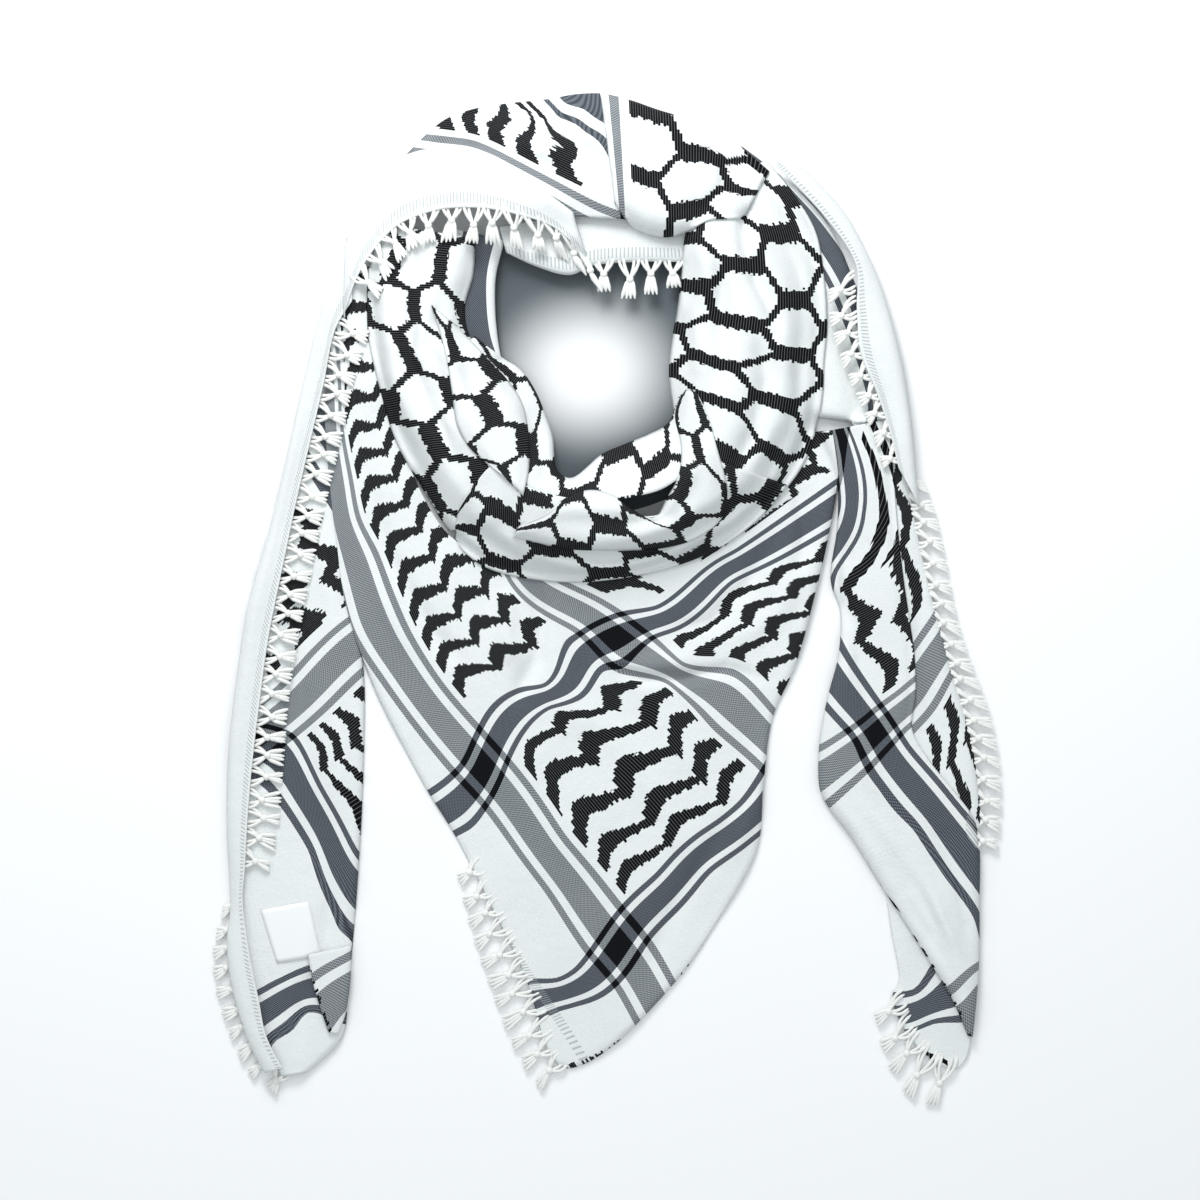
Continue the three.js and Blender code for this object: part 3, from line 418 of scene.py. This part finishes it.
def cloth_piece(spec, material, nodes):
    """One stretch of the cloth: a grid moved onto its sections, its height and its folds."""
    mid = smooth_rows(spec["rows"], np.linspace(0, 1, 40))[0]
    length = smooth_rows(spec["rows"], np.zeros(1))[1]
    width = np.hypot(mid[:, 2] - mid[:, 0], mid[:, 3] - mid[:, 1])
    bm = bmesh.new()
    bmesh.ops.create_grid(bm, x_segments=max(6, int(length / CELL)),
                          y_segments=max(6, int(width.max() / CELL)), size=1)
    bm.verts.ensure_lookup_table()
    co = np.array([v.co for v in bm.verts])
    s, t = (co[:, 0] + 1) / 2, (co[:, 1] + 1) / 2
    t = t - 0.06 * np.sin(2 * np.pi * t)          # closer rows at the edges, where folds roll down
    e, _ = smooth_rows(spec["rows"], s)
    x, y = e[:, 0] * (1 - t) + e[:, 2] * t, e[:, 1] * (1 - t) + e[:, 3] * t
    z = heap(x, y) + spec["heap"] if "heap" in spec else np.full(x.shape, float(spec["height"]))
    if "height" in spec:
        z = np.maximum(z, spec["height"])
    if spec["name"] == "front_bib":
        z = z - 1 + 3 * np.clip((y + 190) / 200, 0, 1) + 1.2 * np.sin(x / 24 + y / 60)
    z = z + 0.5 * np.sin(x / 13 + y / 31) + 0.4 * np.sin(y / 17 - x / 23)
    for on, line, wide, high in CREASES:
        if on == spec["name"]:
            d, part = line_gap(x, y, line)
            ridge = high * np.exp(-(d / wide) ** 2)
            z = z + ridge * np.clip(4 * part + 0.25, 0, 1) * np.clip(4.25 - 4 * part, 0, 1)
    wide_here = np.hypot(e[:, 2] - e[:, 0], e[:, 3] - e[:, 1])
    edge = {"f": t * wide_here, "s": (1 - t) * wide_here, "b": s * length, "e": (1 - s) * length}
    d = np.min([edge[k] for k in spec["folds"]], axis=0) / spec["radius"]
    d = np.clip(d, 0, 1)
    z = z - spec["drop"] * (1 - np.sqrt(1 - (1 - d) ** 2))
    need = np.array([ground(a, b) for a, b in zip(x, y)]) + CLOTH + 0.6
    lift = np.maximum(0, need - z)
    cols = {v: i for i, v in enumerate(sorted({round(c, 5) for c in co[:, 0]}))}
    rows = {v: i for i, v in enumerate(sorted({round(c, 5) for c in co[:, 1]}))}
    i = np.array([cols[round(c, 5)] for c in co[:, 0]])
    j = np.array([rows[round(c, 5)] for c in co[:, 1]])
    g = np.zeros((len(cols), len(rows)))
    g[i, j] = lift
    least = g.copy()
    for _ in range(4):                                # a layer below shows as a soft step
        pad = np.pad(g, 1, mode="edge")
        g = np.maximum(least, (pad[:-2, 1:-1] + pad[2:, 1:-1] + pad[1:-1, :-2] + pad[1:-1, 2:] + 2 * g) / 6)
    z = z + g[i, j]
    if spec.get("a_lines"):
        a, b = spread(spec["a_lines"])(x, y), spread(spec["b_lines"])(x, y)
    else:
        down, over = spec["along"], spec["across"]
        a, b = over[0] + (over[1] - over[0]) * t, down[0] + (down[1] - down[0]) * s
        if spec.get("turned"):
            a, b = b, a
    for v, px, py, pz in zip(bm.verts, x, y, z):
        v.co = ((px - HOME[0]) / 1000, (py - HOME[1]) / 1000, pz / 1000)
    layer = bm.loops.layers.uv.new("weave")
    for face in bm.faces:
        for loop in face.loops:
            k = loop.vert.index
            loop[layer].uv = (a[k] / 1000, b[k] / 1000)
    face_up(bm)
    lay(bm)
    piece = finish_piece(spec["name"].replace("_", "-"), bm, material, nodes)
    thick = piece.modifiers.new("one layer of cotton", "SOLIDIFY")
    thick.thickness, thick.offset = CLOTH / 1000, -1
    return piece, (float(width.mean()) / 1000, float(length) / 1000)


def strand(bm, path, radius, sides=6):
    """A round strand along a path of points in mm, from a grid rolled into a tube."""
    made = bmesh.ops.create_grid(bm, x_segments=len(path) - 1, y_segments=sides, size=1)["verts"]
    for v in made:
        k = int(round((v.co.x + 1) / 2 * (len(path) - 1)))
        turn = (v.co.y + 1) * math.pi
        here = Vector(path[k])
        way = (Vector(path[min(k + 1, len(path) - 1)]) - Vector(path[max(k - 1, 0)])).normalized()
        side = way.cross(Vector((0, 0, 1))).normalized()
        up = side.cross(way)
        r = radius * (0.35 if k in (0, len(path) - 1) else 1)
        p = here + side * math.cos(turn) * r + up * math.sin(turn) * r
        v.co = ((p.x - HOME[0]) / 1000, (p.y - HOME[1]) / 1000, p.z / 1000)
    bmesh.ops.remove_doubles(bm, verts=made, dist=0.00005)


def fringe_piece(spec, material):
    """Knotted tassels: four strands drawn together in a knot, with loose ends."""
    def rest(px, py):
        if "heap" in spec:
            level = float(heap(np.array([px]), np.array([py]))[0]) + spec["heap"]
        else:
            level = spec["height"]
        return max(ground(px, py), level)
    length = smooth_rows(spec["rows"], np.zeros(1))[1]
    count = max(3, int(round(length / TASSEL_PITCH)))
    bm = bmesh.new()
    for k in range(count):
        s = (k + 0.5) / count
        e, _ = smooth_rows(spec["rows"], np.array([s, min(1, s + 0.01)]))
        hem, end = Vector(e[0][:2]), Vector(e[0][2:])
        edge = (Vector(e[1][:2]) - hem).normalized()
        out = end - hem
        knot = hem + out * (0.52 + 0.05 * math.sin(k * 2.4)) + edge * 1.6 * math.sin(k * 1.7)
        for n, foot in enumerate((-8.5, -4.5, 4.5, 8.5)):
            path = []
            for q in range(7):
                u = q / 6
                bow = math.sin(math.pi * u) * foot * 0.45
                p = (hem - out * 0.12) * (1 - u) + knot * u + edge * (foot * (1 - u) + bow)
                path.append((p.x, p.y, rest(p.x, p.y) + YARN + 0.4 + 1.2 * (n % 2) * math.sin(math.pi * u)))
            strand(bm, path, YARN)
        for n in range(4):
            path = []
            for q in range(5):
                u = q / 4
                p = knot * (1 - u) + end * u + edge * (n - 1.5) * (1.2 + 2.6 * u + math.sin(k * 3.1 + n * 2))
                path.append((p.x, p.y, rest(p.x, p.y) + YARN + 0.5 + 0.8 * math.sin(math.pi * u)))
            strand(bm, path, YARN * 1.25)
        ball = bmesh.ops.create_icosphere(bm, subdivisions=2, radius=0.0034)["verts"]
        z = rest(knot.x, knot.y) + 3.0
        for v in ball:
            v.co = (v.co.x + (knot.x - HOME[0]) / 1000, v.co.y + (knot.y - HOME[1]) / 1000,
                    v.co.z * 0.85 + z / 1000)
    bm.normal_update()
    bmesh.ops.recalc_face_normals(bm, faces=bm.faces)
    return finish_piece(spec["name"].replace("_", "-"), bm, material, [spec["name"]])


def label_piece(material):
    """The woven label, a small ribbon that follows the cloth under it."""
    bm = bmesh.new()
    bmesh.ops.create_grid(bm, x_segments=12, y_segments=12, size=1)
    for v in bm.verts:
        s, t = (v.co.x + 1) / 2, (v.co.y + 1) / 2
        x = (-305 * (1 - s) - 261 * s) * (1 - t) + (-290 * (1 - s) - 250 * s) * t
        y = (-278 * (1 - s) - 270 * s) * (1 - t) + (-326 * (1 - s) - 319 * s) * t
        z = ground(x, y) + 0.9 + 0.5 * math.sin(math.pi * s)
        v.co = ((x - HOME[0]) / 1000, (y - HOME[1]) / 1000, z / 1000)
    face_up(bm)
    piece = finish_piece("woven-label", bm, material, ["woven_label"])
    thick = piece.modifiers.new("ribbon", "SOLIDIFY")
    thick.thickness, thick.offset = LABEL_WALL, -1
    return piece


def colour(code):
    """An sRGB hex colour as linear red, green, blue and alpha."""
    parts = [int(code[k:k + 2], 16) / 255 for k in (1, 3, 5)]
    return tuple(c / 12.92 if c <= 0.04045 else ((c + 0.055) / 1.055) ** 2.4 for c in parts) + (1.0,)


def add(tree, kind, *inputs, out=0, **settings):
    """Adds a node, with its settings and its inputs in order. "Math.ADD" is a Math node set to ADD."""
    kind, _, operation = kind.partition(".")
    node = tree.nodes.new("ShaderNode" + kind)
    if operation:
        node.operation = operation
    for key, value in settings.items():
        setattr(node, key, value)
    for k, value in enumerate(inputs):
        if isinstance(value, bpy.types.NodeSocket):
            tree.links.new(value, node.inputs[k])
        elif value is not None:
            node.inputs[k].default_value = value
    return node.outputs[out]


def blank(name, code, roughness):
    """A plain material, its node tree and its shader."""
    mat = bpy.data.materials.new(name)
    mat.use_nodes = True
    shader = mat.node_tree.nodes["Principled BSDF"]
    shader.inputs["Base Color"].default_value = colour(code)
    shader.inputs["Roughness"].default_value = roughness
    return mat, mat.node_tree, shader


def keffiyeh_cotton():
    """Plain-woven cotton, white warp and weft with black stripes, and black floats woven over it."""
    mat, tree, shader = blank("keffiyeh cotton", "#e9ecec", 0.92)

    def n(*args, **kw):
        return add(tree, *args, **kw)

    def between(v, lo, hi):
        return n("Math.MULTIPLY", n("Math.GREATER_THAN", v, lo), n("Math.LESS_THAN", v, hi))

    def folded(v, size, middle):
        return n("Math.ABSOLUTE", n("Math.SUBTRACT", n("Math.FLOORED_MODULO", v, size), middle))

    weave = n("SeparateXYZ", n("UVMap", uv_map="weave"))
    node = weave.node
    a, b = (n("Math.MULTIPLY", node.outputs[k], 1000.0) for k in (0, 1))
    # the pattern steps by one float
    float_at = n("Math.MULTIPLY", n("Math.FLOOR", n("Math.DIVIDE", a, FLOAT_PITCH)), FLOAT_PITCH)
    row_at = n("Math.FLOOR", n("Math.DIVIDE", b, 9.0))
    stray = n("TexWhiteNoise", n("CombineXYZ", float_at, row_at, 0.0), noise_dimensions="3D")
    stray = n("Math.MULTIPLY_ADD", stray, 3.4, -1.7)
    # stripes: thin 7, gap 8, wide 26, gap 8, thin 7, twice from each edge
    masks = []
    for v, start in ((a, 53.0), (b, 42.0)):
        u = folded(n("Math.SUBTRACT", v, start), STRIPE_REPEAT, 28.0)
        bars = n("Math.ADD", n("Math.LESS_THAN", u, 13.0), between(u, 21.0, 28.0))
        masks.append(n("Math.MULTIPLY", bars, between(v, start - 5, start + 262)))
    in_a, in_b = masks
    both = n("Math.MULTIPLY", in_a, in_b)
    # waves along a, in rows across b
    p = n("Math.FLOORED_MODULO", n("Math.SUBTRACT", float_at, 114.0), WAVE_PERIOD)
    p = n("Math.DIVIDE", p, WAVE_PERIOD)
    rise = n("MapRange", p, 0.0, 0.3, 0.0, 11.0)
    fall = n("MapRange", p, 0.4, 1.0, 0.0, -11.0)
    centre = n("Math.ADD", n("Math.ADD", rise, fall), -5.5)
    thick = n("MapRange", p, 0.25, 0.9, 7.4, 3.6)
    row_b = n("Math.SUBTRACT", b, centre)
    off = folded(n("Math.SUBTRACT", row_b, 103.5), WAVE_ROW, WAVE_ROW / 2)
    wave = n("Math.LESS_THAN", off, n("Math.ADD", thick, n("Math.MULTIPLY", stray, 0.8)))
    rows = n("Math.ADD", between(row_b, 103.5, 238.5), n("Math.GREATER_THAN", row_b, 319.5))
    runs = n("Math.ADD", between(float_at, 114.0, 249.0), n("Math.GREATER_THAN", float_at, 322.0))
    net_area = n("Math.MULTIPLY", n("Math.GREATER_THAN", a, 318.0), n("Math.GREATER_THAN", b, 312.0))
    waves = n("Math.MULTIPLY", n("Math.MULTIPLY", wave, n("Math.MULTIPLY", rows, runs)),
              n("Math.SUBTRACT", 1.0, net_area))
    # fishnet: six-sided meshes 58 by 54 mm, with thick bars along a and thin slanted sides
    pull = n("TexNoise", n("CombineXYZ", a, b, 0.0), None, 0.011, 0.0, out=1)   # the gathers pull the meshes
    pull = n("SeparateXYZ", pull)
    net_a = n("Math.MULTIPLY_ADD", pull, 44.0, n("Math.SUBTRACT", float_at, 22.0))
    net_b = n("Math.MULTIPLY_ADD", pull.node.outputs[1], 44.0, n("Math.SUBTRACT", b, 22.0))
    net = None
    for shift_a, shift_b in ((43.5, 27.0), (0.0, 0.0)):
        px = folded(n("Math.ADD", net_a, shift_a - 375.0), 87.0, 43.5)
        py = folded(n("Math.ADD", net_b, shift_b), 54.0, 27.0)
        slant = n("Math.ADD", n("Math.DIVIDE", px, 29.0), n("Math.DIVIDE", py, 54.0))
        cell = n("Math.MULTIPLY", n("Math.LESS_THAN", slant, 1.0), n("Math.LESS_THAN", py, 27.01))
        bar = n("Math.MULTIPLY", n("Math.GREATER_THAN", n("Math.ADD", py, stray), 19.0),
                n("Math.LESS_THAN", px, 18.0))
        side = n("Math.GREATER_THAN", n("Math.ADD", slant, n("Math.MULTIPLY", stray, 0.02)), 0.88)
        here = n("Math.MULTIPLY", cell, n("Math.MAXIMUM", bar, side))
        net = here if net is None else n("Math.MAXIMUM", net, here)
    floats = n("Math.MAXIMUM", waves, n("Math.MULTIPLY", net, net_area))
    # dots where a black thread passes over a white one, 2.2 mm apart
    dots = n("Math.MULTIPLY", n("Math.SINE", n("Math.MULTIPLY", a, 2 * math.pi / 2.2)),
             n("Math.SINE", n("Math.MULTIPLY", b, 2 * math.pi / 2.2)))
    dots = n("MapRange", dots, -0.5, 0.5, 0.0, 1.0)
    grain = n("TexNoise", n("TexCoord", out=3), None, 900.0, out=0)
    light = n("MixRGB", dots, colour("#54595f"), colour("#a5aaad"))
    dark = n("MixRGB", dots, colour("#33373f"), colour("#6f757c"))
    skin = n("MixRGB", in_a, colour("#e9ecec"), light)
    skin = n("MixRGB", in_b, skin, dark)
    skin = n("MixRGB", both, skin, colour("#101116"))
    # hem: a laddered band 16 mm wide outside a = 0, with painted shade in the gaps between its bars
    shaded_ladder_gaps = n("Math.MULTIPLY", between(a, -12.0, -3.0),
              n("Math.LESS_THAN", n("Math.FLOORED_MODULO", b, 3.4), 1.2))
    # painted shade: the ladder's gaps are greyed as if in shadow, not the cotton's own colour
    skin = n("MixRGB", n("Math.MULTIPLY", shaded_ladder_gaps, 0.7), skin, colour("#aab0b1"))
    # black thread ends along the selvedge
    ends = n("Math.MULTIPLY", n("Math.LESS_THAN", b, n("Math.ADD", 3.0, stray)),
             n("Math.GREATER_THAN", stray, -0.4))
    inked = n("Math.MAXIMUM", floats, ends)
    gap = n("Math.LESS_THAN", n("Math.FLOORED_MODULO", a, FLOAT_PITCH), 0.36)
    ink = n("MixRGB", n("Math.MULTIPLY", gap, 0.45), colour("#0b0b0e"), colour("#8d9194"))
    skin = n("MixRGB", inked, skin, ink)
    tone = n("MapRange", grain, 0.3, 0.7, 0.93, 1.03)
    skin = n("MixRGB", 1.0, skin, n("CombineXYZ", tone, tone, tone), blend_type="MULTIPLY")
    tree.links.new(skin, shader.inputs["Base Color"])
    crinkle = n("TexNoise", n("TexCoord", out=3), None, 60.0, 3.0, out=0)
    relief = n("Math.MULTIPLY_ADD", inked, 0.8, n("Math.MULTIPLY", dots, 0.15))
    relief = n("Math.ADD", relief, n("Math.MULTIPLY_ADD", grain, 0.35, n("Math.MULTIPLY", crinkle, 1.6)))
    relief = n("Math.SUBTRACT", relief, n("Math.MULTIPLY", shaded_ladder_gaps, 0.7))
    bump = n("Bump", 0.6, 0.001)
    tree.links.new(relief, bump.node.inputs["Height"])
    tree.links.new(bump, shader.inputs["Normal"])
    shader.inputs["Specular IOR Level"].default_value = 0.12
    return mat


def cotton_yarn():
    """Soft-spun white cotton yarn, knotted by hand."""
    mat, tree, shader = blank("cotton yarn", "#f4f4f1", 0.95)
    fluff = add(tree, "TexNoise", add(tree, "TexCoord", out=3), None, 1500.0, out=0)
    bump = add(tree, "Bump", 0.7, 0.0006)
    tree.links.new(fluff, bump.node.inputs["Height"])
    tree.links.new(bump, shader.inputs["Normal"])
    shader.inputs["Sheen Weight"].default_value = 0.3
    return mat


def label_satin():
    """White satin ribbon, printed side left blank."""
    mat, _, shader = blank("label satin", "#f6f7f8", 0.4)
    shader.inputs["Sheen Weight"].default_value = 0.1
    return mat


cotton, yarn, satin = keffiyeh_cotton(), cotton_yarn(), label_satin()
UNDER = {"right_roll": ["neck_padding"], "left_tail_panel": ["left_tail_padding"],
         "right_tail_front": ["right_tail_padding"]}

bm = bmesh.new()
bmesh.ops.create_grid(bm, x_segments=1, y_segments=1, size=4)
mesh = bpy.data.meshes.new("floor")
bm.to_mesh(mesh)
bm.free()
floor = bpy.data.objects.new("floor", mesh)
bpy.context.scene.collection.objects.link(floor)
paper, tree, shader = blank("white backdrop paper", "#fbfbfc", 1.0)
# a shade painted on the paper in the neck opening, darker than the lamp and sky make it
spot = add(tree, "VectorMath.MULTIPLY", add(tree, "VectorMath.SUBTRACT", add(tree, "TexCoord", out=3),
                                            WELL_CENTRE), (0.85, 1.0, 0.0))
depth = add(tree, "MapRange", add(tree, "VectorMath.LENGTH", spot, out=1), 0.012, 0.088, 0.12, 1.0,
            interpolation_type="SMOOTHSTEP")
well = add(tree, "Math.LESS_THAN", add(tree, "VectorMath.LENGTH", spot, out=1), 0.13)
shade = add(tree, "MixRGB", add(tree, "Math.MULTIPLY", well, depth), colour("#fbfbfc"), colour("#596166"))
tree.links.new(shade, shader.inputs["Base Color"])
mesh.materials.append(paper)

for spec in FRINGES:
    if spec["after"] is None:
        fringe_piece(spec, yarn)
for spec in STRETCHES:
    name = spec["name"]
    piece, flat = cloth_piece(spec, cotton, [name, *UNDER.get(name, [])])
    for fringe in FRINGES:
        if fringe["after"] == name:
            fringe_piece(fringe, yarn)
    if name == "left_tail_panel":
        label = label_piece(satin)

scene = bpy.context.scene
scene.view_settings.view_transform = "Standard"
world = bpy.data.worlds.new("studio")
scene.world = world
world.use_nodes = True
world.node_tree.nodes["Background"].inputs[0].default_value = colour("#eff5f7")
# a large diffuser over the table, so the sky is brightest overhead
height = add(world.node_tree, "SeparateXYZ", add(world.node_tree, "TexCoord", out=0)).node.outputs[2]
sky = add(world.node_tree, "MapRange", height, 0.05, 0.8, 0.2, 1.0)
world.node_tree.links.new(sky, world.node_tree.nodes["Background"].inputs[1])
lamp = bpy.data.lights.new("soft box", "AREA")
lamp.energy, lamp.size = 19, 0.6
box = bpy.data.objects.new("soft box", lamp)
box.location = (-0.3, 1.3, 1.05)
box.rotation_euler = (Vector((0, 0, 0)) - box.location).to_track_quat("-Z", "Y").to_euler()
scene.collection.objects.link(box)

camera = bpy.data.objects.new("camera", bpy.data.cameras.new("camera"))
camera.data.sensor_width, camera.data.lens = 36, 106.7
camera.location = (-HOME[0] / 1000, 0, CAMERA_HEIGHT)
scene.collection.objects.link(camera)
scene.camera = camera
